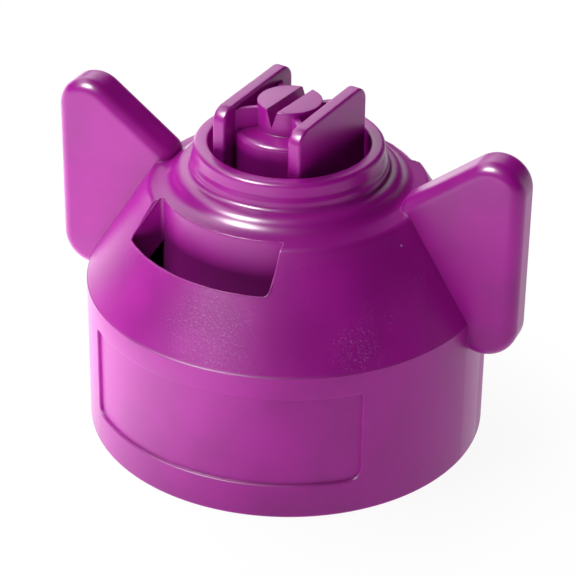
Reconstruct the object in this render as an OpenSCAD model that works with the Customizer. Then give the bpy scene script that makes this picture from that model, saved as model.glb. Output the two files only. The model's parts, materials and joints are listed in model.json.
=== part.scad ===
// Quarter-turn bayonet cap holding an air-induction flat-fan spray nozzle.
// Lengths are in millimetres. The origin is the centre of the cap's open mouth rim,
// +Z points out of the spray outlet, and the two finger wings lie along +X and -X.

/* [Cap skirt] */
// Outside diameter of the skirt
skirt_d = 33; // [32:0.5:34]
// Height of the straight skirt, from the mouth rim to the foot of the shoulder
skirt_h = 13.1; // [12.8:0.1:13.4]
// Inside diameter of the skirt, which clears the bayonet ears of the nozzle body
skirt_bore_d = 26.6; // [26.2:0.1:27]
// Half of the angle that one recessed label panel spans
panel_half_angle = 44.5; // [35:0.5:50]
// Height of the label panel's lower edge
panel_low = 3.1; // [2.6:0.1:3.6]
// Height of the label panel's upper edge
panel_high = 11.1; // [10.4:0.1:11.6]
// Depth of the label panel
panel_depth = 0.25; // [0.15:0.05:0.4]

/* [Cap shoulder and collar] */
// Radius where the steep shoulder ends and the shallow one starts
shoulder_top_r = 11.3; // [11.15:0.05:11.4]
// Height where the steep shoulder ends and the shallow one starts
shoulder_top_z = 21.5; // [21.3:0.1:21.7]
// Radius of the shallow valley inside the shoulder
valley_r = 9.55; // [9.5:0.05:9.65]
// Height of the shallow valley inside the shoulder
valley_z = 21.95; // [21.9:0.05:22.0]
// Radius where the crest round the neck starts to fall
crest_r = 8.95; // [8.9:0.05:9.0]
// Height of the crest
crest_z = 22.95; // [22.85:0.05:23.05]
// Outside radius of the neck below the collar
neck_r = 7.9; // [7.8:0.05:7.95]
// Height of the neck's top
neck_z = 23.9; // [23.6:0.1:24.2]
// Outside radius of the collar
collar_r = 7.7; // [7.5:0.1:7.9]
// Height of the collar's rim
collar_z = 25.2; // [24.9:0.1:25.6]
// Radius of the well inside the collar
well_r = 6.5; // [6.45:0.05:6.6]
// Height of the well's floor
well_floor_z = 21.7; // [21.5:0.1:22]

/* [Cap cup] */
// Outside radius of the inner cup
cup_r = 10.5; // [10.4:0.05:10.6]
// Radius of the bore that guides the nozzle body's spigot
guide_r = 9.3; // [9.2:0.05:9.4]
// Radius of the pocket that holds the seat gasket and the tip's flange
pocket_r = 9.0; // [8.95:0.05:9.1]
// Height of the cup's lower rim
cup_low = 6.3; // [6:0.1:6.6]
// Height of the step between the guide bore and the pocket
step_z = 14.3; // [14:0.1:14.4]
// Height of the seat that the tip's flange bears on
seat_z = 19.9; // [19.8:0.1:20]

/* [Bayonet] */
// Smallest radius between the two bayonet ramps
ramp_r = 11.5; // [11.4:0.05:11.8]
// Height of a ramp's thin leading end
ramp_lead_h = 1.8; // [1.6:0.1:2]
// Rise of a ramp over its length
ramp_rise = 1.2; // [1:0.1:1.4]
// Height of a ramp's underside above the mouth rim
ramp_low = 1.4; // [1.2:0.1:1.6]
// Angle that one ramp spans
ramp_span = 66; // [60:1:70]

/* [Shoulder windows] */
// Radius of a window's outer wall
window_r = 13.25; // [13.2:0.01:13.29]
// Sideways position of a window's straight wall
window_side_x = 3.9; // [3.5:0.1:4.3]
// Direction of a window's radial wall
window_angle = -138; // [-140:1:-132]

/* [Finger wings] */
// Sideways reach of a wing from the axis
wing_x = 20.2; // [20:0.05:20.5]
// Thickness of a wing
wing_t = 3.5; // [3.2:0.1:3.8]
// Radius along a wing's edges
wing_edge_r = 1.1; // [0.9:0.1:1.3]
// Slope of a wing's top edge, as rise over run
wing_slope = 0.765; // [0.74:0.005:0.78]
// Height of a wing's lower edge
wing_low = 10.2; // [10:0.1:10.5]
// Radius of a wing's outer top corner
wing_top_r = 2.65; // [2.5:0.05:2.9]
// Radius of a wing's outer bottom corner
wing_foot_r = 2.8; // [2.5:0.1:3]

/* [Spray tip] */
// Turn of the spray fan from the line square to the wings
fan_offset = 10; // [8:1:12]
// Distance from the axis to an ear's outer face
ear_out = 4.15; // [4.05:0.05:4.2]
// Thickness of an ear
ear_t = 1.2; // [1.1:0.05:1.3]
// Half length of an ear along the spray fan
ear_half_l = 4.85; // [4.6:0.05:4.85]
// Height of the turret's top
ear_z = 28.8; // [28.6:0.1:29]
// Extra height of the ears at their far ends
ear_rise = 0.6; // [0:0.1:0.8]
// Radius of an ear's top corners
ear_corner_r = 1.2; // [1:0.1:1.6]
// Radius of the boss between the ears
boss_r = 4.5; // [4.3:0.05:4.6]
// Height of the boss's top
boss_z = 26.7; // [26.4:0.1:26.8]
// Radius of the turret that holds the spray slot
turret_r = 2.6; // [2.5:0.05:2.65]
// Width of the spray slot at the turret's top
slot_w = 1.0; // [0.9:0.05:1.1]
// Depth of the spray slot
slot_depth = 1.5; // [1.45:0.05:1.6]
// Thickness of the ribs between the turret and the ears
rib_t = 0.6; // [0.5:0.05:0.7]
// Height of the ribs' tops
rib_z = 28.4; // [28.2:0.1:28.5]
// Radius of the tip's flange
flange_r = 8.9; // [8.85:0.01:8.92]
// Thickness of the tip's flange
flange_t = 2.2; // [2:0.1:2.4]
// Radius of the tip's rear barrel
barrel_r = 6; // [5.9:0.1:6.1]
// Height of the rear barrel's end
barrel_low = 14.55; // [14.5:0.05:14.7]

/* [Flow path] */
// Radius of the tip's rear bore
rear_bore_r = 4; // [3.95:0.05:4.05]
// Height of the rear bore's inner end
rear_bore_z = 19.5; // [19.4:0.1:19.6]
// Radius of the chamber that the mixing insert's nose enters
nose_bore_r = 2.15; // [2.1:0.05:2.2]
// Height of the nose chamber's inner end
nose_bore_z = 22.7; // [22.6:0.1:22.8]
// Radius of the spray chamber behind the slot
chamber_r = 1.6; // [1.55:0.05:1.65]
// Radius of an air inlet
air_r = 0.5; // [0.4:0.05:0.5]
// Distance from the axis to an air duct
air_duct_x = 3.2; // [3.15:0.05:3.25]
// Height of the air inlets
air_z = 23.3; // [23.2:0.1:23.5]
// Radius of the mixing insert's throat
throat_r = 0.8; // [0.6:0.05:0.9]
// Radius of the metering hole
metering_r = 0.4; // [0.25:0.05:0.5]
// Radial clearance round the insert and the metering disc
slip = 0.04; // [0.03:0.01:0.06]
// Radius of an O-ring's section
ring_section_r = 0.45; // [0.4:0.05:0.45]
// Radius of the seat gasket's hole
gasket_hole_r = 6.1; // [6.1:0.05:6.3]
// Thickness of the seat gasket
gasket_t = 2.4; // [2.2:0.1:2.5]

/* [Hidden] */
$fn = 160;

// A little overlap, and how far a cut reaches past the face it opens
eps = 0.01;
cut = 1;

skirt_r = skirt_d / 2;
skirt_bore_r = skirt_bore_d / 2;
// Edge radii of the cap's outside, from the rim up
rim_edge_r = 0.3;
shoulder_edge_r = 0.12;
shoulder_blend_r = 0.8;
valley_blend_r = 0.5;
crest_edge_r = 0.75;
neck_fillet_r = 0.4;
neck_edge_r = 0.05;
collar_edge_r = 0.35;
well_edge_r = 0.2;
panel_foot_r = 0.9;
panel_top_r = 0.25;
// Lead-in chamfers at the mouth and at the spigot guide
mouth_lead = 0.4;
guide_lead = 0.4;
// Height of the ceiling over the gap between the cup and the skirt
ceiling_outer_z = 14.3;
ceiling_inner_z = 17.9;
// Direction of a ramp's middle, and how far it is sunk into the skirt
ramp_angle = -104;
ramp_bite = 0.1;
// Wing outline: the inner end of the top edge, and the corner buried in the shoulder
wing_nose_x = 10;
wing_nose_z = 22.35;
wing_root_x = 14.4;
wing_root_z = 13.5;
wing_root_r = 2.4;
wing_angle = atan(wing_slope);
// Tip levels
flange_low = seat_z - flange_t;
gasket_low = flange_low - gasket_t;
key_gap = 0.08;
ear_in = ear_out - ear_t;
boss_edge_r = 0.35;
barrel_edge_r = 0.3;
flange_edge_r = 0.2;
slot_low = ear_z - slot_depth;
// How far the slot breaks into the domed end of the spray chamber
slit_depth = 0.35;
dome_z = slot_low + slit_depth - chamber_r;
// Insert and metering disc levels
plenum_low = 18.7;
insert_low = 16.6;
disc_low = barrel_low + 0.05;
disc_top = insert_low - 0.1;
nose_top = 22.5;
// Outlet cone of the mixing insert, the air hole through its nose, and the disc's inlet cone
diffuser_r = 1.4;
diffuser_h = 2;
plenum_hole_r = 0.3;
inlet_r = 1.6;
inlet_h = 1.2;
// O-rings: radius of the section's centre line, and the groove that holds one
ring_gap = 0.02;
ring_r = rear_bore_r - ring_section_r - ring_gap;
groove_r = ring_r - ring_section_r - eps;
groove_w = 1;
insert_ring_z = (insert_low + plenum_low) / 2;
disc_ring_z = (disc_low + disc_top) / 2;
gasket_gap = 0.05;

plastic = [0.60, 0.16, 0.56];
tip_plastic = [0.62, 0.19, 0.58];
insert_plastic = [0.86, 0.85, 0.82];
rubber = [0.08, 0.08, 0.08];

// Points of an arc that rounds the corner b between a and c to radius r
function corner_arc(a, b, c, r, n) =
    let (u = (a - b) / norm(a - b), v = (c - b) / norm(c - b))
    let (half = acos(u * v) / 2, mid = (u + v) / norm(u + v))
    let (centre = b + mid * r / sin(half), start = -mid)
    let (side = sign(u.x * v.y - u.y * v.x))
    [for (i = [0:n])
        let (turn = side * (90 - half) * (2 * i / n - 1))
        centre + r * [start.x * cos(turn) + start.y * sin(turn),
                      start.y * cos(turn) - start.x * sin(turn)]];

// Closed outline from [x, y, corner radius] entries, with each corner rounded
function rounded_outline(p, n = 6) =
    [for (i = [0:len(p) - 1])
        let (a = p[(i + len(p) - 1) % len(p)], b = p[i], c = p[(i + 1) % len(p)])
        each b[2] == 0 ? [[b.x, b.y]]
                       : corner_arc([a.x, a.y], [b.x, b.y], [c.x, c.y], b[2], n)];

// Ring with a rectangular section, from radius r0 to r1 and height z0 to z1
module ring(r0, r1, z0, z1) {
    translate([0, 0, z0])
        difference() {
            cylinder(r = r1, h = z1 - z0);
            translate([0, 0, -eps]) cylinder(r = r0, h = z1 - z0 + 2 * eps);
        }
}

// Everything is kept twice, half a turn apart
module both_sides() {
    for (turn = [0, 180]) rotate(turn) children();
}

// Disc in the XZ plane with rounded edges: one corner of a wing
module wing_corner(x, z, r) {
    half = wing_t / 2;
    translate([x, 0, z])
        rotate([90, 0, 0])
            rotate_extrude($fn = 32)
                polygon(rounded_outline([[0, -half, 0], [r, -half, wing_edge_r - eps],
                                         [r, half, wing_edge_r - eps], [0, half, 0]], 4));
}

// One wing: a rounded plate from the upper shoulder out to its vertical outer edge
module wing() {
    top_x = wing_x - wing_top_r;
    top_z = wing_nose_z + wing_slope * (top_x - wing_nose_x) - wing_top_r / cos(wing_angle);
    nose_r = wing_edge_r;
    nose_x = wing_nose_x + nose_r;
    nose_z = wing_nose_z + wing_slope * nose_r - nose_r / cos(wing_angle);
    hull() {
        wing_corner(nose_x, nose_z, nose_r);
        wing_corner(top_x, top_z, wing_top_r);
        wing_corner(wing_x - wing_foot_r, wing_low + wing_foot_r, wing_foot_r);
        wing_corner(wing_root_x, wing_root_z, wing_root_r);
    }
}

// The cap's outside: skirt, shoulders, crest and collar, down to the well's floor
module cap_outside() {
    rotate_extrude()
        polygon(rounded_outline([
            [0, 0, 0],
            [skirt_r, 0, rim_edge_r],
            [skirt_r, skirt_h, shoulder_edge_r],
            [shoulder_top_r, shoulder_top_z, shoulder_blend_r],
            [valley_r, valley_z, valley_blend_r],
            [crest_r, crest_z, crest_edge_r],
            [neck_r, crest_z, neck_fillet_r],
            [neck_r, neck_z, neck_edge_r],
            [collar_r, neck_z, neck_edge_r],
            [collar_r, collar_z, collar_edge_r],
            [well_r, collar_z, well_edge_r],
            [well_r, well_floor_z, well_edge_r],
            [0, well_floor_z, 0]]));
}

// Gap between the inner cup and the skirt, with its sloping ceiling
module skirt_cavity() {
    rotate_extrude()
        polygon([[0, -cut], [skirt_bore_r + mouth_lead, -cut], [skirt_bore_r + mouth_lead, 0],
                 [skirt_bore_r, mouth_lead], [skirt_bore_r, ceiling_outer_z],
                 [cup_r, ceiling_inner_z], [cup_r, cup_low], [0, cup_low]]);
}

// Stepped bore of the cup: spigot guide below, gasket and flange pocket above
module cup_bore() {
    rotate_extrude()
        polygon([[0, cup_low - cut], [guide_r + guide_lead, cup_low - cut],
                 [guide_r + guide_lead, cup_low], [guide_r, cup_low + guide_lead],
                 [guide_r, step_z], [pocket_r, step_z],
                 [pocket_r, seat_z], [0, seat_z]]);
}

// One window: straight up through the shoulder, against the cup's wall
module window() {
    intersection() {
        ring(cup_r, window_r, ceiling_outer_z - cut, collar_z);
        linear_extrude(collar_z)
            polygon([[0, 0], [window_side_x, 0], [window_side_x, -skirt_r],
                     [skirt_r * cos(window_angle), -skirt_r],
                     [skirt_r * cos(window_angle), skirt_r * sin(window_angle)]]);
    }
}

// One shallow label panel in the skirt, with rounded corners
module label_panel() {
    half = skirt_r * sin(panel_half_angle);
    intersection() {
        ring(skirt_r - panel_depth, skirt_r + cut, panel_low, panel_high);
        rotate([90, 0, 0])
            linear_extrude(skirt_r + cut)
                polygon(rounded_outline([[-half, panel_low, panel_foot_r],
                                         [half, panel_low, panel_foot_r],
                                         [half, panel_high, panel_top_r],
                                         [-half, panel_high, panel_top_r]]));
    }
}

// One bayonet ramp inside the skirt, rising towards its locked end
module bayonet_ramp() {
    tilt = atan(ramp_rise / (2 * ramp_r * sin(ramp_span / 2)));
    mid_h = ramp_lead_h + ramp_rise / 2;
    rotate(ramp_angle)
        difference() {
            rotate(-ramp_span / 2)
                translate([0, 0, ramp_low])
                    rotate_extrude(angle = ramp_span)
                        translate([ramp_r, 0])
                            square([skirt_bore_r + ramp_bite - ramp_r,
                                    ramp_lead_h + 2 * ramp_rise]);
            translate([0, 0, ramp_low + mid_h])
                rotate([tilt, 0, 0])
                    translate([0, -skirt_r, 0]) cube([skirt_r, 2 * skirt_r, skirt_h]);
        }
}

// Slot through the seat plate that keys the tip's ears to the cap
module key_slot() {
    half_n = ear_out + key_gap;
    half_t = ear_half_l + key_gap;
    rotate(-fan_offset)
        translate([-half_n, -half_t, seat_z - cut])
            cube([2 * half_n, 2 * half_t, well_floor_z - seat_z + cut + eps]);
}

module cap() {
    color(plastic)
        union() {
            difference() {
                union() {
                    cap_outside();
                    both_sides() wing();
                }
                skirt_cavity();
                cup_bore();
                key_slot();
                both_sides() window();
                both_sides() label_panel();
            }
            both_sides() bayonet_ramp();
        }
}

// One ear: a plate with rounded top corners, between x and x + ear_t in the tip's own frame
module ear(x) {
    near_z = ear_z - ear_rise / 6;
    far_z = ear_z + ear_rise;
    translate([x, 0, 0])
        rotate([90, 0, 90])
            linear_extrude(ear_t)
                polygon(rounded_outline([[-ear_half_l, seat_z, 0], [ear_half_l, seat_z, 0],
                                         [ear_half_l, far_z, ear_corner_r],
                                         [-ear_half_l, near_z, ear_corner_r]], 8));
}

// Boss, turret, ribs and ears that stand up through the collar
module tip_head() {
    for (x = [ear_in, -ear_out]) ear(x);
    intersection() {
        rotate_extrude()
            polygon(rounded_outline([[0, seat_z, 0], [boss_r, seat_z, 0],
                                     [boss_r, boss_z, boss_edge_r], [0, boss_z, 0]]));
        translate([-ear_out, -boss_r, 0]) cube([2 * ear_out, 2 * boss_r, ear_z]);
    }
    translate([0, 0, seat_z]) cylinder(r = turret_r, h = ear_z - seat_z);
    reach = ear_in + ear_t / 2;
    for (turn = [45, -45])
        intersection() {
            rotate(turn)
                translate([-ear_z, -rib_t / 2, seat_z]) cube([2 * ear_z, rib_t, rib_z - seat_z]);
            translate([-reach, -reach, seat_z]) cube([2 * reach, 2 * reach, rib_z - seat_z]);
        }
}

// Flange that bears on the cap's seat, and the short barrel behind it
module tip_rear() {
    rotate_extrude()
        polygon(rounded_outline([[0, barrel_low, 0], [barrel_r, barrel_low, barrel_edge_r],
                                 [barrel_r, flange_low, 0], [flange_r, flange_low, flange_edge_r],
                                 [flange_r, seat_z, flange_edge_r], [0, seat_z, 0]]));
}

// Spray chamber with a domed end, the nose bore and the rear bore
module tip_flow() {
    translate([0, 0, barrel_low - cut])
        cylinder(r = rear_bore_r, h = rear_bore_z - barrel_low + cut);
    translate([0, 0, rear_bore_z - cut])
        cylinder(r = nose_bore_r, h = nose_bore_z - rear_bore_z + cut);
    translate([0, 0, nose_bore_z - cut]) cylinder(r = chamber_r, h = dome_z - nose_bore_z + cut);
    translate([0, 0, dome_z]) sphere(r = chamber_r);
}

// One air path: an inlet in the boss's side and a duct down to the rear bore
module air_path() {
    translate([0, air_duct_x, rear_bore_z - cut])
        cylinder(r = air_r, h = air_z - rear_bore_z + cut);
    translate([0, air_duct_x, air_z])
        rotate([-90, 0, 0]) cylinder(r = air_r, h = boss_r);
}

// V-shaped cut across the turret, which meets the domed chamber in a slit
module spray_slot() {
    length = 2 * turret_r + cut;
    flare = slot_w / 2 * (slot_depth + cut) / slot_depth;
    translate([0, length / 2, 0])
        rotate([90, 0, 0])
            linear_extrude(length)
                polygon([[0, slot_low], [flare, ear_z + cut], [-flare, ear_z + cut]]);
}

module nozzle_tip() {
    color(tip_plastic)
        rotate(-fan_offset)
            difference() {
                union() {
                    tip_head();
                    tip_rear();
                }
                tip_flow();
                both_sides() air_path();
                spray_slot();
            }
}

// Groove for an O-ring, cut round a plug of radius rear_bore_r - slip
module ring_groove(z) {
    ring(groove_r, rear_bore_r + cut, z - groove_w / 2, z + groove_w / 2);
}

// Venturi insert: a sealed body, and a nose that jets into the spray chamber
module mixing_insert() {
    nose_r = nose_bore_r - slip;
    color(insert_plastic)
        difference() {
            union() {
                translate([0, 0, insert_low])
                    cylinder(r = rear_bore_r - slip, h = plenum_low - insert_low);
                translate([0, 0, insert_low]) cylinder(r = nose_r, h = nose_top - insert_low);
            }
            ring_groove(insert_ring_z);
            translate([0, 0, insert_low - cut])
                cylinder(r = throat_r, h = nose_top - insert_low + 2 * cut);
            translate([0, 0, nose_top - diffuser_h])
                cylinder(r1 = throat_r, r2 = diffuser_r, h = diffuser_h + eps);
            translate([0, 0, (plenum_low + rear_bore_z) / 2])
                rotate([0, 90, 0]) cylinder(r = plenum_hole_r, h = 3 * nose_r, center = true);
        }
}

module o_ring(z) {
    color(rubber)
        translate([0, 0, z])
            rotate_extrude()
                translate([ring_r, 0]) circle(r = ring_section_r, $fn = 32);
}

module insert_o_ring() {
    o_ring(insert_ring_z);
}

// Metering disc: the calibrated hole that sets the flow
module metering_disc() {
    thickness = disc_top - disc_low;
    color(insert_plastic)
        difference() {
            translate([0, 0, disc_low]) cylinder(r = rear_bore_r - slip, h = thickness);
            ring_groove(disc_ring_z);
            translate([0, 0, disc_low - cut]) cylinder(r = metering_r, h = thickness + 2 * cut);
            translate([0, 0, disc_low - eps]) cylinder(r1 = inlet_r, r2 = metering_r, h = inlet_h);
        }
}

module disc_o_ring() {
    o_ring(disc_ring_z);
}

// Flat gasket between the tip's flange and the nozzle body's spigot
module seat_gasket() {
    color(rubber)
        ring(gasket_hole_r, pocket_r - gasket_gap, gasket_low, flange_low);
}

cap();
nozzle_tip();
mixing_insert();
insert_o_ring();
metering_disc();
disc_o_ring();
seat_gasket();
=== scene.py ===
"""Looks of the bayonet-cap spray nozzle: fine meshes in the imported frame, moulded plastic, studio."""

import json
import math
import random

import bmesh
import bpy
from mathutils import Matrix, Vector

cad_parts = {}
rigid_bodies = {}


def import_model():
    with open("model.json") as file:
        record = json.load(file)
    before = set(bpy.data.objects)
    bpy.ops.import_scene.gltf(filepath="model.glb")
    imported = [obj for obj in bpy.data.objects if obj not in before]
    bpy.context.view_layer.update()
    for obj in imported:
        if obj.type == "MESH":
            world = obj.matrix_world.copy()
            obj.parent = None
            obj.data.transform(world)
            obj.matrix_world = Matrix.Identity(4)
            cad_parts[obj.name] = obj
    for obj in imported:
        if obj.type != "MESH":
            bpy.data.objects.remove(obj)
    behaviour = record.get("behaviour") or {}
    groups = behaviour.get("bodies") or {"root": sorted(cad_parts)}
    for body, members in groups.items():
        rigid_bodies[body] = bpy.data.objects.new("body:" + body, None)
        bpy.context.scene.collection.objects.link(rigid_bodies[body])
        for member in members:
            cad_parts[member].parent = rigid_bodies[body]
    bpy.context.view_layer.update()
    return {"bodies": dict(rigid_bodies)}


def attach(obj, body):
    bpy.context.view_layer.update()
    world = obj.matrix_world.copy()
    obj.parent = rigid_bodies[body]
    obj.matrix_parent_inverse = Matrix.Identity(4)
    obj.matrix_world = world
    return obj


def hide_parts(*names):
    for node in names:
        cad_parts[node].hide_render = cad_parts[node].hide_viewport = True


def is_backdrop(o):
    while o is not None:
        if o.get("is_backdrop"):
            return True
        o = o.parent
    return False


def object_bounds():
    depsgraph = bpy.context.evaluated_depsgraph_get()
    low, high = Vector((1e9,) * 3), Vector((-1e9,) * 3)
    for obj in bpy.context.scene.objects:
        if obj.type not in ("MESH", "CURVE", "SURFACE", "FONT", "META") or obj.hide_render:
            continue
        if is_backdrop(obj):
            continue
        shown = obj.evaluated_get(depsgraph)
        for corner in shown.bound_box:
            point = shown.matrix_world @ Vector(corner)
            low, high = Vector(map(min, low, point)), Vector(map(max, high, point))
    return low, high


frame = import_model()

# ---------------------------------------------------------------- sizes, in millimetres
MM = 0.001
ROUND = 384          # segments round the axis
FAN = math.radians(-10)   # the tip's turn in the cap
CUT = 1.0            # how far a cutter reaches past the face it opens
EPS = 0.01

SKIRT_R, SKIRT_H, BORE_R = 16.5, 13.1, 13.3
CUP_R, GUIDE_R, POCKET_R = 10.5, 9.3, 9.0
CUP_LOW, STEP_Z, SEAT_Z, WELL_Z = 6.3, 14.3, 19.9, 21.7
WELL_R, COLLAR_R, COLLAR_Z = 6.5, 7.7, 25.2
WINDOW_R, WINDOW_X, WINDOW_ANGLE = 13.25, 3.9, math.radians(-138)
SHOULDER = ((SKIRT_R - 0.06, SKIRT_H), (11.3, 21.5))
EAR_OUT, EAR_T, EAR_HALF, EAR_Z, EAR_RISE = 4.15, 1.2, 4.85, 28.8, 0.6
BOSS_R, BOSS_Z, TURRET_R = 4.5, 26.7, 2.6
BARREL_LOW, BARREL_R, FLANGE_R, FLANGE_LOW = 14.55, 6.0, 8.9, 17.7
REAR_R, REAR_Z, NOSE_R, NOSE_Z, CHAMBER_R = 4.0, 19.5, 2.15, 22.7, 1.6
AIR_R, AIR_X, AIR_Z = 0.5, 3.2, 23.3
SLIT_LOW = EAR_Z - 1.5
DOME_Z = SLIT_LOW + 0.35 - CHAMBER_R
GASKET_LOW, GASKET_HOLE_R, GASKET_R = 15.3, 6.1, 8.95
PLUG_R, PLUG_EDGE_R = 3.96, 3.91          # the insert's and the disc's outer radius, and at a groove
INSERT_LOW, INSERT_RING_Z, DISC_LOW, DISC_RING_Z = 16.6, 17.65, 14.6, 15.55
RING_R, RING_SECTION = 3.53, 0.45
SHALLOW_RISE = 0.257                      # the shallow shoulder's rise for each step inward
VALLEY, CREST, NECK_R = (9.55, 21.95), (8.95, 22.95), 7.9


# ---------------------------------------------------------------- outlines
def corner(a, b, c, radius, steps):
    """Points of the arc that rounds corner b between a and c."""
    a, b, c = Vector(a[:2]), Vector(b[:2]), Vector(c[:2])
    u, v = (a - b).normalized(), (c - b).normalized()
    half = math.acos(max(-1.0, min(1.0, u.dot(v)))) / 2
    centre = b + (u + v).normalized() * radius / math.sin(half)
    first, last = b + u * radius / math.tan(half), b + v * radius / math.tan(half)
    start = math.atan2(*(first - centre).yx)
    turn = math.atan2(*(last - centre).yx) - start
    turn = (turn + math.pi) % (2 * math.pi) - math.pi
    return [(centre.x + radius * math.cos(start + turn * i / steps),
             centre.y + radius * math.sin(start + turn * i / steps)) for i in range(steps + 1)]


def outline(points, steps=6):
    """Closed outline from (x, y, corner radius) entries."""
    made = []
    for i, p in enumerate(points):
        if p[2] == 0:
            made.append(p[:2])
        else:
            made += corner(points[i - 1], p, points[(i + 1) % len(points)], p[2], steps)
    return made


# ---------------------------------------------------------------- solids, in millimetres
def solid(name, verts, faces):
    mesh = bpy.data.meshes.new(name)
    mesh.from_pydata([tuple(v) for v in verts], [], faces)
    made = bpy.data.objects.new(name, mesh)
    bpy.context.scene.collection.objects.link(made)
    bm = bmesh.new()
    bm.from_mesh(mesh)
    bmesh.ops.recalc_face_normals(bm, faces=bm.faces)
    bm.to_mesh(mesh)
    bm.free()
    return made


def revolve(name, profile, segments=ROUND):
    """Solid of revolution from a closed (r, z) profile."""
    verts, rings, faces = [], [], []
    for r, z in profile:
        if r < 1e-6:
            rings.append([len(verts)] * segments)
            verts.append((0, 0, z))
        else:
            rings.append(list(range(len(verts), len(verts) + segments)))
            verts += [(r * math.cos(2 * math.pi * i / segments),
                       r * math.sin(2 * math.pi * i / segments), z) for i in range(segments)]
    for low, high in zip(rings, rings[1:] + rings[:1]):
        if low[0] == low[1] and high[0] == high[1]:
            continue
        for i in range(segments):
            j = (i + 1) % segments
            face = []
            for v in (low[i], low[j], high[j], high[i]):
                if v not in face:
                    face.append(v)
            faces.append(face)
    return solid(name, verts, faces)


def loft(name, rings, closed=False):
    """Solid through rings of equally many points; the end rings are capped unless closed."""
    n = len(rings[0])
    verts = [v for ring in rings for v in ring]
    faces = []
    pairs = list(zip(range(len(rings)), range(1, len(rings))))
    if closed:
        pairs.append((len(rings) - 1, 0))
    for a, b in pairs:
        faces += [(a * n + i, a * n + (i + 1) % n, b * n + (i + 1) % n, b * n + i) for i in range(n)]
    if not closed:
        faces.append(tuple(range(n)))
        faces.append(tuple(range((len(rings) - 1) * n, len(rings) * n)))
    return solid(name, verts, faces)


def prism(name, points, z0, z1):
    return loft(name, [[(x, y, z) for x, y in points] for z in (z0, z1)])


def box(name, low, high):
    return prism(name, [(low[0], low[1]), (high[0], low[1]), (high[0], high[1]), (low[0], high[1])],
                 low[2], high[2])


def cylinder(name, radius, z0, z1, segments=96):
    return revolve(name, [(0, z0), (radius, z0), (radius, z1), (0, z1)], segments)


def turned(made, matrix):
    made.data.transform(matrix)
    if matrix.determinant() < 0:
        made.data.flip_normals()
    return made


def half_turn(made):
    """A copy of a solid half a turn round the axis."""
    copy = bpy.data.objects.new(made.name + "_b", made.data.copy())
    bpy.context.scene.collection.objects.link(copy)
    return turned(copy, Matrix.Rotation(math.pi, 4, "Z"))


def drop(made):
    mesh = made.data
    bpy.data.objects.remove(made)
    bpy.data.meshes.remove(mesh)


def combine(target, others, operation):
    """Booleans the other solids into the target, one after another."""
    for other in others:
        mod = target.modifiers.new("b", "BOOLEAN")
        mod.operation, mod.solver, mod.object = operation, "MANIFOLD", other
        graph = bpy.context.evaluated_depsgraph_get()
        mesh = bpy.data.meshes.new_from_object(target.evaluated_get(graph), depsgraph=graph)
        target.modifiers.clear()
        old, target.data = target.data, mesh
        bpy.data.meshes.remove(old)
        drop(other)
    return target


def round_edges(made, choose, width, segments=3):
    """Bevels the edges that choose() picks from their two end points and two face normals."""
    bm = bmesh.new()
    bm.from_mesh(made.data)
    bm.normal_update()
    picked = [e for e in bm.edges if len(e.link_faces) == 2 and choose(e)]
    bmesh.ops.bevel(bm, geom=picked, offset=width, segments=segments, profile=0.5,
                    affect="EDGES", clamp_overlap=True)
    bm.to_mesh(made.data)
    bm.free()
    return made


def finish_piece(made, name, body, nodes, material, smooth=28):
    """Scales a solid to metres, cleans it, shades it and hands it to its body."""
    bm = bmesh.new()
    bm.from_mesh(made.data)
    bmesh.ops.remove_doubles(bm, verts=bm.verts, dist=0.004)
    bmesh.ops.dissolve_degenerate(bm, edges=bm.edges, dist=0.003)
    bmesh.ops.triangulate(bm, faces=[f for f in bm.faces if len(f.verts) > 4],
                          quad_method="BEAUTY", ngon_method="BEAUTY")
    bm.to_mesh(made.data)
    bm.free()
    made.data.transform(Matrix.Scale(MM, 4))
    made.name = made.data.name = name
    made.data.shade_smooth()
    made.data.set_sharp_from_angle(angle=math.radians(smooth))
    made.data.materials.clear()
    made.data.materials.append(material)
    mod = made.modifiers.new("normals", "WEIGHTED_NORMAL")
    mod.keep_sharp, mod.weight = True, 50
    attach(made, body)
    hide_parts(*nodes)
    return made


# ---------------------------------------------------------------- the cap
def wing_solid():
    """A rounded plate: the hull of four discs, with every edge rounded all the way round."""
    slope, edge, half_t = 0.765, 1.1, 1.75
    nose_x, nose_z, top_r, foot_r = 10.0, 22.35, 2.65, 2.8
    lean = math.cos(math.atan(slope))
    discs = [(nose_x + edge, nose_z + slope * edge - edge / lean, edge + EPS),
             (20.2 - top_r, nose_z + slope * (20.2 - top_r - nose_x) - top_r / lean, top_r),
             (20.2 - foot_r, 10.2 + foot_r, foot_r),
             (14.4, 13.5, 2.4)]
    around = []
    for k in range(180):
        angle = 2 * math.pi * k / 180
        n = (math.cos(angle), math.sin(angle))
        around.append((n, max(discs, key=lambda d: d[0] * n[0] + d[1] * n[1] + d[2])))
    rings = []
    steps = 10
    for side in (-1, 1):
        order = range(steps + 1) if side < 0 else range(steps, -1, -1)
        for i in order:
            angle = math.pi / 2 * i / steps
            inset = edge * (1 - math.sin(angle))
            y = side * (half_t - edge + edge * math.cos(angle))
            rings.append([(d[0] + n[0] * (d[2] - inset), y, d[1] + n[1] * (d[2] - inset))
                          for n, d in around])
    return loft("wing", rings)


def cap_outside():
    return revolve("cap", outline([
        (0, 0, 0),
        (SKIRT_R, 0, 0.3),
        (SKIRT_R, SKIRT_H, 0.05),
        (SHOULDER[0][0], SHOULDER[0][1], 0),
        (SHOULDER[1][0], SHOULDER[1][1], 0.7),
        (VALLEY[0], VALLEY[1], 1.4),
        (CREST[0], CREST[1], 0.98),
        (NECK_R, CREST[1], 0.45),
        (NECK_R, 23.68, 0.3),
        (COLLAR_R, 24.05, 0.3),
        (COLLAR_R, COLLAR_Z, 0.4),
        (WELL_R, COLLAR_Z, 0.2),
        (WELL_R, WELL_Z, 0.2),
        (0, WELL_Z, 0)]))


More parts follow.
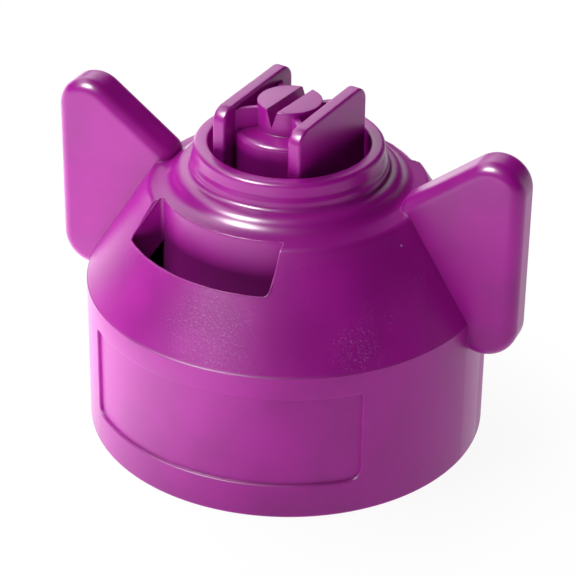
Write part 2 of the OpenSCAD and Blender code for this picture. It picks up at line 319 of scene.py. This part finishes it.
def cap_inside():
    lead = 0.4
    return revolve("cavity", [
        (0, -CUT), (BORE_R + lead, -CUT), (BORE_R + lead, 0), (BORE_R, lead), (BORE_R, 14.3),
        (CUP_R, 17.9), (CUP_R, CUP_LOW + 0.15), (CUP_R - 0.15, CUP_LOW),
        (GUIDE_R + lead, CUP_LOW), (GUIDE_R, CUP_LOW + lead), (GUIDE_R, STEP_Z),
        (POCKET_R, STEP_Z), (POCKET_R, SEAT_Z - 0.2), (POCKET_R - 0.2, SEAT_Z), (0, SEAT_Z)])


def window_outline():
    """Plan view of a window: two arcs, a radial wall and a straight wall, with rounded corners."""
    a0, a1 = WINDOW_ANGLE, -math.acos(WINDOW_X / WINDOW_R)
    b0, b1 = WINDOW_ANGLE, -math.acos(WINDOW_X / CUP_R)

    def arc(r, start, stop, gap_start, gap_stop, steps=60):
        start += gap_start / r * (1 if stop > start else -1)
        stop -= gap_stop / r * (1 if stop > start else -1)
        return [(r * math.cos(start + (stop - start) * i / steps),
                 r * math.sin(start + (stop - start) * i / steps), 0) for i in range(steps + 1)]

    def at(r, angle, radius):
        return (r * math.cos(angle), r * math.sin(angle), radius)

    points = arc(WINDOW_R, a0, a1, 0.35, 0.9) + [at(WINDOW_R, a1, 0.6)]
    points += [at(CUP_R, b1, 0.12)] + arc(CUP_R, b1, b0, 0.25, 0.5)
    points += [at(CUP_R, b0, 0.35), at(WINDOW_R, a0, 0.25)]
    return outline(points, 8)


def window_flash():
    """A thin, slightly uneven ridge of moulding flash along a window's rim on the shoulder."""
    rng = random.Random(4)
    rise = (SHOULDER[1][1] - SHOULDER[0][1]) / (SHOULDER[0][0] - SHOULDER[1][0])

    def height(r):
        if r > 11.2:
            return SHOULDER[0][1] + (SHOULDER[0][0] - r) * rise
        return SHOULDER[1][1] + (SHOULDER[1][0] - r) * SHALLOW_RISE

    points = window_outline()
    rings = []
    n = len(points)
    thick = [0.05 + 0.05 * rng.random() for _ in range(n)]
    for i, (x, y) in enumerate(points):
        px, py = points[i - 1]
        qx, qy = points[(i + 1) % n]
        along = Vector((qx - px, qy - py, height(math.hypot(qx, qy)) - height(math.hypot(px, py))))
        along.normalize()
        up = Vector((0, 0, 1))
        side = along.cross(up).normalized()
        up = side.cross(along)
        centre = Vector((x, y, height(math.hypot(x, y)) - 0.03))
        r = (thick[i - 1] + thick[i] + thick[(i + 1) % n]) / 3
        rings.append([centre + side * r * math.cos(t * math.pi / 4) + up * r * math.sin(t * math.pi / 4)
                      for t in range(8)])
    return loft("flash", rings, closed=True)


def label_panel():
    """Cutter of one shallow label panel, whose outer edges come out rounded."""
    depth, edge = 0.25, 0.12
    half, low, high = SKIRT_R * math.radians(44.5), 3.1, 11.1
    corners = [(-half, low, 0.9), (half, low, 0.9), (half, high, 0.3), (-half, high, 0.3)]

    def ring(r, grow):
        base = outline([(x + math.copysign(grow, x), z + (grow if z > 7 else -grow), c + grow)
                        for x, z, c in corners], 8)
        dense = []
        for i, p in enumerate(base):
            q = base[(i + 1) % len(base)]
            steps = 90 if abs(q[0] - p[0]) > 5 else 1
            dense += [(p[0] + (q[0] - p[0]) * k / steps, p[1] + (q[1] - p[1]) * k / steps)
                      for k in range(steps)]
        return [(r * math.sin(s / SKIRT_R), -r * math.cos(s / SKIRT_R), z) for s, z in dense]

    rings = [ring(SKIRT_R / 2, 0), ring(SKIRT_R - edge, 0)]
    for i in range(1, 7):
        angle = math.pi / 2 * i / 6
        rings.append(ring(SKIRT_R - edge + edge * math.sin(angle) * 1.001,
                          edge * (1 - math.cos(angle))))
    rings.append(ring(2 * SKIRT_R, edge))
    cutter = loft("panel", rings)
    inner, outer = SKIRT_R - depth, SKIRT_R + CUT
    shell = revolve("shell", [(inner, 1), (outer, 1), (outer, 13), (inner, 13)])
    return combine(cutter, [shell], "INTERSECT")


def bayonet_ramp():
    """One ramp inside the skirt, from its thin lead to its locked end."""
    middle, span, inner, outer = math.radians(-104), math.radians(66), 11.5, BORE_R + 0.1
    low, mid = 1.4, 1.4 + 1.8 + 0.6
    slope = 1.2 / (2 * inner * math.sin(span / 2))
    rings = []
    for i in range(61):
        angle = span * (i / 60 - 0.5)
        rings.append([(r * math.cos(middle + angle), r * math.sin(middle + angle),
                       low if z == 0 else mid + r * math.sin(angle) * slope)
                      for r, z in ((inner, 0), (outer, 0), (outer, 1), (inner, 1))])
    return loft("ramp", rings)


def key_slot():
    half_x, half_y = EAR_OUT + 0.08, EAR_HALF + 0.08
    made = box("key", (-half_x, -half_y, SEAT_Z - CUT), (half_x, half_y, WELL_Z + CUT))
    return turned(made, Matrix.Rotation(FAN, 4, "Z"))


def build_cap():
    cap = cap_outside()
    wing = wing_solid()
    combine(cap, [half_turn(wing), wing], "UNION")
    window = prism("window", window_outline(), 13.3, 26)
    panel = label_panel()
    combine(cap, [cap_inside(), key_slot(), half_turn(window), window, half_turn(panel), panel],
            "DIFFERENCE")
    ramp, flash = bayonet_ramp(), window_flash()
    combine(cap, [half_turn(ramp), ramp, half_turn(flash), flash], "UNION")
    return cap


# ---------------------------------------------------------------- the spray tip
def ear(x):
    """One ear, between x and x + EAR_T, with its outline's edges rounded."""
    points = outline([(-EAR_HALF, 19, 0), (EAR_HALF, 19, 0),
                      (EAR_HALF, EAR_Z + EAR_RISE, 1.2),
                      (-EAR_HALF, EAR_Z - EAR_RISE / 6, 1.3)], 14)
    made = loft("ear", [[(u, y, z) for y, z in points] for u in (x, x + EAR_T)])

    def choose(e):
        a, b = e.verts[0].co, e.verts[1].co
        return abs(a.x - b.x) < EPS and max(a.z, b.z) > 19.5

    return round_edges(made, choose, 0.24, 4)


def tip_head():
    head = revolve("tip", outline([
        (0, BARREL_LOW, 0), (BARREL_R, BARREL_LOW, 0.3), (BARREL_R, FLANGE_LOW, 0),
        (FLANGE_R, FLANGE_LOW, 0.2), (FLANGE_R, SEAT_Z, 0.2), (0, SEAT_Z, 0)]), 256)
    boss = revolve("boss", outline([(0, 18.5, 0), (BOSS_R, 18.5, 0), (BOSS_R, BOSS_Z, 0.4),
                                    (0, BOSS_Z, 0)], 8), 192)
    slab = box("slab", (-EAR_OUT + EPS, -9, 18), (EAR_OUT - EPS, 9, 30))
    boss = combine(boss, [slab], "INTERSECT")
    turret = revolve("turret", outline([(0, 18.7, 0), (TURRET_R, 18.7, 0),
                                        (TURRET_R, EAR_Z, 0.1), (0, EAR_Z, 0)], 5), 160)
    parts = [boss, turret]
    reach = EAR_OUT - EAR_T / 2
    for k, turn in enumerate((45, -45)):
        made = prism("rib", [(-8, -0.3), (8, -0.3), (8, 0.3), (-8, 0.3)], 18.9, 28.4)
        made = round_edges(made, lambda e: min(v.co.z for v in e.verts) > 28
                           and abs(e.verts[0].co.y - e.verts[1].co.y) < EPS, 0.08, 2)
        turned(made, Matrix.Rotation(math.radians(turn), 4, "Z"))
        limit = box("limit", (-reach, -reach, 18), (reach, reach, 30))
        parts.append(combine(made, [limit], "INTERSECT"))
    parts += [ear(EAR_OUT - EAR_T), ear(-EAR_OUT)]
    return combine(head, parts, "UNION")


def build_tip():
    tip = tip_head()
    cutters = [cylinder("rear", REAR_R, BARREL_LOW - CUT, REAR_Z, 192),
               cylinder("nose", NOSE_R, REAR_Z - CUT, NOSE_Z, 128)]
    dome = [(0, NOSE_Z - CUT), (CHAMBER_R, NOSE_Z - CUT)]
    dome += [(CHAMBER_R * math.cos(math.pi / 2 * i / 12),
              DOME_Z + CHAMBER_R * math.sin(math.pi / 2 * i / 12)) for i in range(12)]
    dome.append((0, DOME_Z + CHAMBER_R))
    cutters.append(revolve("dome", dome, 96))
    for side in (1, -1):
        duct = cylinder("duct", AIR_R, REAR_Z - CUT, AIR_Z + 0.2, 48)
        cutters.append(turned(duct, Matrix.Translation((0, side * AIR_X, 0))))
        inlet = cylinder("inlet", AIR_R, 0, 3, 48)
        turned(inlet, Matrix.Rotation(-side * math.pi / 2, 4, "X"))
        cutters.append(turned(inlet, Matrix.Translation((0, side * AIR_X, AIR_Z))))
    flare = 0.5 * (1.5 + CUT) / 1.5
    slot = [(0, SLIT_LOW), (flare, EAR_Z + CUT), (-flare, EAR_Z + CUT)]
    cutters.append(loft("slot", [[(x, y, z) for x, z in slot] for y in (-3.2, 3.2)]))
    combine(tip, cutters, "DIFFERENCE")
    return turned(tip, Matrix.Rotation(FAN, 4, "Z"))


# ---------------------------------------------------------------- loose pieces
def groove(z, half=0.5, depth=3.07):
    """Profile points of a ring groove on a plug, going up."""
    return [(PLUG_R, z - half - 0.05), (PLUG_EDGE_R, z - half), (depth, z - half),
            (depth, z + half), (PLUG_EDGE_R, z + half), (PLUG_R, z + half + 0.05)]


def build_insert():
    profile = [(0.8, INSERT_LOW), (3.81, INSERT_LOW), (PLUG_R, 16.75)] + groove(INSERT_RING_Z)
    profile += [(PLUG_R, 18.55), (3.81, 18.7), (2.21, 18.7), (2.11, 18.8), (2.11, 22.4), (2.01, 22.5),
                (1.4, 22.5), (0.8, 20.5)]
    made = revolve("insert", profile, 192)
    hole = cylinder("hole", 0.3, -4, 4, 32)
    turned(hole, Matrix.Rotation(math.pi / 2, 4, "Y"))
    turned(hole, Matrix.Translation((0, 0, 19.1)))
    return combine(made, [hole], "DIFFERENCE")


def build_disc():
    profile = [(0.4, 15.79), (1.6, DISC_LOW), (3.86, DISC_LOW), (PLUG_R, 14.7)]
    profile += groove(DISC_RING_Z)
    profile += [(PLUG_R, 16.4), (3.86, 16.5), (0.4, 16.5)]
    return revolve("disc", profile, 192)


def o_ring(z):
    return revolve("ring", [(RING_R + RING_SECTION * math.cos(2 * math.pi * i / 32),
                             z + RING_SECTION * math.sin(2 * math.pi * i / 32))
                            for i in range(32)], 160)


def build_gasket():
    return revolve("gasket", outline([
        (GASKET_HOLE_R, GASKET_LOW, 0.12), (GASKET_R, GASKET_LOW, 0.12),
        (GASKET_R, FLANGE_LOW, 0.12), (GASKET_HOLE_R, FLANGE_LOW, 0.12)], 4), 256)


# ---------------------------------------------------------------- materials
def add(tree, kind, inputs=None, **settings):
    """A node with its properties and inputs set; an input may be a value or another socket."""
    made = tree.nodes.new(kind)
    for key, value in settings.items():
        setattr(made, key, value)
    for key, value in (inputs or {}).items():
        if isinstance(value, bpy.types.NodeSocket):
            tree.links.new(value, made.inputs[key])
        else:
            made.inputs[key].default_value = value
    return made


def maths(tree, operation, *values, clamp=False):
    made = tree.nodes.new("ShaderNodeMath")
    made.operation, made.use_clamp = operation, clamp
    for i, value in enumerate(values):
        if isinstance(value, bpy.types.NodeSocket):
            tree.links.new(value, made.inputs[i])
        else:
            made.inputs[i].default_value = value
    return made.outputs[0]


def between(tree, value, low, high, out_low=0.0, out_high=1.0):
    """value from low..high to out_low..out_high, smoothly and clamped."""
    return add(tree, "ShaderNodeMapRange", {0: value, 1: low, 2: high, 3: out_low, 4: out_high},
               interpolation_type="SMOOTHSTEP").outputs[0]


def mix_colour(tree, factor, a, b, blend="MIX"):
    made = tree.nodes.new("ShaderNodeMix")
    made.data_type, made.blend_type = "RGBA", blend
    for key, value in ((0, factor), (6, a), (7, b)):
        if isinstance(value, bpy.types.NodeSocket):
            tree.links.new(value, made.inputs[key])
        else:
            made.inputs[key].default_value = value
    return made.outputs[2]


def noise(tree, coord, scale, detail=3.0, rough=0.55):
    return add(tree, "ShaderNodeTexNoise", {"Vector": coord, "Scale": scale, "Detail": detail,
                                            "Roughness": rough}).outputs[0]


# Spots on the shoulder where the key light's glints fall, painted as paler grain, and how far each
# reaches, in metres
PAINTED_GLINT_SPOTS = (((-0.0006, -0.0145, 0.0160), 0.0050), ((0.0108, -0.0112, 0.0145), 0.0030))


def moulded_plastic(name, colour, texture=False):
    """Moulded plastic: slight flow marks, fine grain with painted glints on the shoulder, softened
    edges and a few dust specks.
    """
    mat = bpy.data.materials.new(name)
    mat.use_nodes = True
    tree = mat.node_tree
    tree.nodes.clear()
    coord = add(tree, "ShaderNodeTexCoord").outputs["Object"]
    flow = noise(tree, coord, 130, 4)
    grain = noise(tree, coord, 2600, 2)
    fine = noise(tree, coord, 7000, 2, 0.6)
    edge = add(tree, "ShaderNodeBevel", {"Radius": 0.00013}, samples=6).outputs[0]

    parts = add(tree, "ShaderNodeSeparateXYZ", {0: coord})
    z = parts.outputs[2]
    if texture:
        radius = maths(tree, "SQRT", maths(tree, "ADD", maths(tree, "POWER", parts.outputs[0], 2.0),
                                           maths(tree, "POWER", parts.outputs[1], 2.0)))
        above = between(tree, z, 0.0131, 0.0133)
        below = between(tree, z, 0.0216, 0.0200)
        y_out = maths(tree, "ABSOLUTE", parts.outputs[1])
        wing = between(tree, y_out, 0.0017, 0.0019)
        outside = between(tree, radius, 0.0104, 0.0108)
        cone = maths(tree, "MULTIPLY", maths(tree, "MULTIPLY", above, below),
                     maths(tree, "MULTIPLY", wing, outside))
        patches = between(tree, noise(tree, coord, 200, 3, 0.6), 0.50, 0.80)
        # Painted highlight: the grain mask grows stronger round each spot where the key light glints
        for place, reach in PAINTED_GLINT_SPOTS:
            far = add(tree, "ShaderNodeVectorMath", {0: coord, 1: place},
                      operation="DISTANCE").outputs["Value"]
            patches = maths(tree, "ADD", patches, between(tree, far, reach, reach * 0.2))
        sparkle = maths(tree, "MULTIPLY", cone, patches, clamp=True)
        matte = maths(tree, "MULTIPLY", wing, between(tree, z, 0.0220, 0.0205))
    else:
        cone = sparkle = matte = maths(tree, "MULTIPLY", z, 0.0)

    # Colour: slow variation, a paler grain on the spark-eroded shoulder that is painted glints,
    # strongest at the painted highlight spots, and dust
    light = [min(1, c * 1.12) for c in colour[:3]] + [1]
    dark = [c * 0.90 for c in colour[:3]] + [1]
    base = mix_colour(tree, between(tree, flow, 0.35, 0.65), dark, light)
    # Painted glints: the grain is coloured paler where it would catch the key light
    painted_glint_grain = maths(tree, "MULTIPLY", sparkle, between(tree, fine, 0.52, 0.74))
    base = mix_colour(tree, maths(tree, "MULTIPLY", painted_glint_grain, 0.34), base, (0.60, 0.28, 0.55, 1))
    cells = add(tree, "ShaderNodeTexVoronoi", {"Vector": coord, "Scale": 260.0, "Randomness": 1.0})
    pick = add(tree, "ShaderNodeSeparateColor", {0: cells.outputs["Color"]}).outputs[0]
    dust = maths(tree, "MULTIPLY", between(tree, cells.outputs["Distance"], 0.030, 0.018),
                 maths(tree, "GREATER_THAN", pick, 0.86))
    base = mix_colour(tree, maths(tree, "MULTIPLY", dust, 0.55), base, (0.80, 0.62, 0.78, 1))

    # Roughness: satin, glossier on the neck and the wings than on the shoulder and the skirt
    rough = between(tree, flow, 0.3, 0.7, 0.28, 0.33)
    rough = maths(tree, "ADD", rough, maths(tree, "MULTIPLY", matte, 0.10))
    rough = maths(tree, "ADD", rough, maths(tree, "MULTIPLY", dust, 0.3), clamp=True)

    # Bump: faint orange peel everywhere, spark erosion on the shoulder
    peel = add(tree, "ShaderNodeBump", {"Strength": 0.10, "Distance": 0.00002, "Height": grain,
                                        "Normal": edge}).outputs[0]
    amount = maths(tree, "ADD", 0.06, maths(tree, "MULTIPLY", sparkle, 0.9))
    normal = add(tree, "ShaderNodeBump", {"Strength": amount, "Distance": 0.000016, "Height": fine,
                                          "Normal": peel}).outputs[0]
    shader = add(tree, "ShaderNodeBsdfPrincipled", {
        "Base Color": base, "Roughness": rough, "Normal": normal, "IOR": 1.48,
        "Specular IOR Level": maths(tree, "SUBTRACT", 0.36, maths(tree, "MULTIPLY", cone, 0.16)),
        "Subsurface Weight": 0.08, "Subsurface Scale": 0.0006,
        "Subsurface Radius": (1.0, 0.25, 0.9)}).outputs[0]
    out = add(tree, "ShaderNodeOutputMaterial")
    tree.links.new(shader, out.inputs[0])
    return mat


def moulded_rubber(name):
    mat = bpy.data.materials.new(name)
    mat.use_nodes = True
    tree = mat.node_tree
    tree.nodes.clear()
    coord = add(tree, "ShaderNodeTexCoord").outputs["Object"]
    bloom = noise(tree, coord, 420, 4)
    grain = noise(tree, coord, 6000, 2)
    base = mix_colour(tree, between(tree, bloom, 0.35, 0.70), (0.012, 0.012, 0.013, 1),
                      (0.040, 0.039, 0.038, 1))
    rough = between(tree, bloom, 0.3, 0.7, 0.48, 0.66)
    edge = add(tree, "ShaderNodeBevel", {"Radius": 0.0001}, samples=4).outputs[0]
    normal = add(tree, "ShaderNodeBump", {"Strength": 0.25, "Distance": 0.00003, "Height": grain,
                                          "Normal": edge}).outputs[0]
    shader = add(tree, "ShaderNodeBsdfPrincipled", {
        "Base Color": base, "Roughness": rough, "Normal": normal, "IOR": 1.52}).outputs[0]
    out = add(tree, "ShaderNodeOutputMaterial")
    tree.links.new(shader, out.inputs[0])
    return mat


PURPLE, NATURAL = (0.36, 0.002, 0.285, 1), (0.70, 0.68, 0.62, 1)
purple = moulded_plastic("purple_cap", PURPLE, texture=True)
purple_tip = moulded_plastic("purple_tip", PURPLE)
natural = moulded_plastic("natural_plastic", NATURAL)
rubber = moulded_rubber("black_rubber")

finish_piece(build_cap(), "cap_shell", "cap_body", ["cap"], purple)
finish_piece(build_tip(), "spray_tip", "tip_body", ["nozzle_tip"], purple_tip)
finish_piece(build_insert(), "venturi_insert", "insert_body", ["mixing_insert"],
             natural)
finish_piece(build_disc(), "orifice_disc", "disc_body", ["metering_disc"],
             natural)
finish_piece(o_ring(INSERT_RING_Z), "upper_o_ring", "insert_body", ["insert_o_ring"],
             rubber)
finish_piece(o_ring(DISC_RING_Z), "lower_o_ring", "disc_body", ["disc_o_ring"], rubber)
finish_piece(build_gasket(), "flat_gasket", "gasket_body", ["seat_gasket"], rubber)

# ---------------------------------------------------------------- floor, light and camera
AZIMUTH, ELEVATION, ROLL, RANGE = math.radians(23.3), math.radians(30.04), math.radians(0.73), 0.2
TARGET = Vector((0, 0, 0.0133))
FLOOR_GAP, FLOOR_HALF = 0.00002, 3
PALE = 0.93          # how bright the floor and the backdrop look to the camera
back = Vector((math.sin(AZIMUTH) * math.cos(ELEVATION), -math.cos(AZIMUTH) * math.cos(ELEVATION),
               math.sin(ELEVATION)))
right = Vector((math.cos(AZIMUTH), math.sin(AZIMUTH), 0))
ahead = Vector((-math.sin(AZIMUTH), math.cos(AZIMUTH), 0))
up = Vector((0, 0, 1))

floor_mesh = bpy.data.meshes.new("floor")
floor_mesh.from_pydata([(x * FLOOR_HALF, y * FLOOR_HALF, 0)
                        for x, y in ((-1, -1), (1, -1), (1, 1), (-1, 1))], [], [(0, 1, 2, 3)])
floor = bpy.data.objects.new("floor", floor_mesh)
bpy.context.scene.collection.objects.link(floor)

# The floor stays just under the lowest piece, so a piece that slides out of the cap stands on it
LOWEST = {"cap_body": 0, "tip_body": BARREL_LOW, "gasket_body": GASKET_LOW,
          "insert_body": INSERT_LOW, "disc_body": DISC_LOW}
follow = floor.driver_add("location", 2).driver
follow.type = "MIN"
for body, lowest in LOWEST.items():
    foot = bpy.data.objects.new("foot_of_" + body, None)
    bpy.context.scene.collection.objects.link(foot)
    foot.parent = frame["bodies"][body]
    foot.location.z = lowest * MM - FLOOR_GAP
    height = follow.variables.new()
    height.type = "TRANSFORMS"
    height.targets[0].id, height.targets[0].transform_type = foot, "LOC_Z"

pale = bpy.data.materials.new("pale_floor")
pale.use_nodes = True
tree = pale.node_tree
tree.nodes.clear()


def strength(tree, name, value):
    """A named Value node that sets how bright one part of the studio is."""
    made = tree.nodes.new("ShaderNodeValue")
    made.name = made.label = name
    made.outputs[0].default_value = value
    return made.outputs[0]


def along(tree, vector, direction):
    return add(tree, "ShaderNodeVectorMath", {0: vector, 1: tuple(direction.normalized())},
               operation="DOT_PRODUCT").outputs["Value"]


def pale_to_camera(tree, glow):
    """The glow for every ray but the camera's own, which sees an even near-white."""
    seen = add(tree, "ShaderNodeLightPath").outputs["Is Camera Ray"]
    return maths(tree, "ADD", maths(tree, "MULTIPLY", glow, maths(tree, "SUBTRACT", 1.0, seen)),
                 maths(tree, "MULTIPLY", PALE, seen))


# The table glows by itself, more on the left and not at all under the cap, where the skirt
# shuts the light off. To the camera it is an even near-white. A camera below the table sees
# through it, and the cap's inside is then lit too, as it is when pieces stand below the cap.
spot = add(tree, "ShaderNodeTexCoord").outputs["Object"]
sideways = along(tree, spot, right)
leftward = between(tree, sideways, -0.001, -0.028)
glow = maths(tree, "ADD", strength(tree, "table", 0.92),
             maths(tree, "MULTIPLY", leftward, strength(tree, "table_left", 2.1)))
glow = pale_to_camera(tree, glow)
outside = add(tree, "ShaderNodeVectorMath", {0: spot}, operation="LENGTH").outputs["Value"]
surface = add(tree, "ShaderNodeNewGeometry")
level = add(tree, "ShaderNodeSeparateXYZ", {0: surface.outputs["Position"]}).outputs[2]
eye_place = add(tree, "ShaderNodeVectorTransform", {0: (0, 0, 0)}, vector_type="POINT",
                convert_from="CAMERA", convert_to="WORLD").outputs[0]
eye_level = add(tree, "ShaderNodeSeparateXYZ", {0: eye_place}).outputs[2]
lit = maths(tree, "ADD", maths(tree, "GREATER_THAN", outside, (SKIRT_R - 0.6) * MM),
            maths(tree, "ADD", maths(tree, "LESS_THAN", level, -0.001),
                  maths(tree, "LESS_THAN", eye_level, level)), clamp=True)
glow = maths(tree, "MULTIPLY", glow, lit)
matte = add(tree, "ShaderNodeBsdfDiffuse", {"Color": (0.10, 0.10, 0.10, 1)}).outputs[0]
glow = add(tree, "ShaderNodeEmission", {"Color": (1, 1, 1, 1), "Strength": glow}).outputs[0]
both = add(tree, "ShaderNodeAddShader", {0: matte, 1: glow}).outputs[0]
clear = add(tree, "ShaderNodeBsdfTransparent").outputs[0]
both = add(tree, "ShaderNodeMixShader", {0: surface.outputs["Backfacing"], 1: both, 2: clear})
tree.links.new(both.outputs[0], add(tree, "ShaderNodeOutputMaterial").inputs[0])
floor_mesh.materials.append(pale)
floor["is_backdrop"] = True

world = bpy.data.worlds.new("studio")
bpy.context.scene.world = world
world.use_nodes = True
tree = world.node_tree
tree.nodes.clear()
direction = add(tree, "ShaderNodeTexCoord").outputs["Generated"]


def panel_of_light(name, azimuth, elevation, core, reach, value):
    """A soft-edged round panel; azimuth is in degrees from ahead of the camera to its right."""
    azimuth, elevation = math.radians(azimuth), math.radians(elevation)
    centre = ((right * math.sin(azimuth) + ahead * math.cos(azimuth)) * math.cos(elevation)
              + up * math.sin(elevation))
    patch = between(tree, along(tree, direction, centre), math.cos(math.radians(reach)),
                    math.cos(math.radians(core)))
    return maths(tree, "MULTIPLY", patch, strength(tree, name, value))


glow = strength(tree, "fill", 0.01)
for entry in (("high_left", 272, 57, 8, 22, 3.6),
              ("high_back_left", 310, 50, 8, 22, 4.0),
              ("low_back_left", 330, 8, 4, 14, 3.8),
              ("back_left", 340, 30, 8, 22, 2.4),
              ("backdrop", 0, 30, 8, 22, 2.0),
              ("right_card", 75, 8, 5, 20, 1.2)):
    glow = maths(tree, "ADD", glow, panel_of_light(*entry))
glow = pale_to_camera(tree, glow)
sky = add(tree, "ShaderNodeBackground", {"Color": (1, 1, 1, 1), "Strength": glow}).outputs[0]
tree.links.new(sky, add(tree, "ShaderNodeOutputWorld").inputs[0])


def softbox(name, place, size, power, gloss_only=False):
    lamp = bpy.data.lights.new(name, "AREA")
    lamp.shape, lamp.size, lamp.energy = "DISK", size, power
    made = bpy.data.objects.new(name, lamp)
    bpy.context.scene.collection.objects.link(made)
    made.location = TARGET + place
    made.rotation_euler = place.to_track_quat("Z", "Y").to_euler()
    made.visible_diffuse = not gloss_only


high = right * -0.27 + ahead * -0.175 + up * 0.383
softbox("key", high, 0.10, 0.45)
softbox("glint", high * 1.05, 0.20, 11.0, gloss_only=True)

camera = bpy.data.cameras.new("camera")
IMAGE, SENSOR, SCALE = 576, 36, 12.156          # picture width, sensor width, picture units per mm
camera.sensor_width, camera.lens = SENSOR, SCALE * (RANGE * 1000) / IMAGE * SENSOR
camera.shift_x, camera.shift_y = 0.2 / IMAGE, -19.2 / IMAGE
camera.clip_start, camera.clip_end = 0.001, 10
eye = bpy.data.objects.new("camera", camera)
bpy.context.scene.collection.objects.link(eye)
turn = Matrix((right, right.cross(-back), back)).transposed() @ Matrix.Rotation(ROLL, 3, "Z")
eye.matrix_world = Matrix.Translation(TARGET + back * RANGE) @ turn.to_4x4()
bpy.context.scene.camera = eye
bpy.context.scene.view_settings.view_transform = "Standard"

low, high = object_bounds()
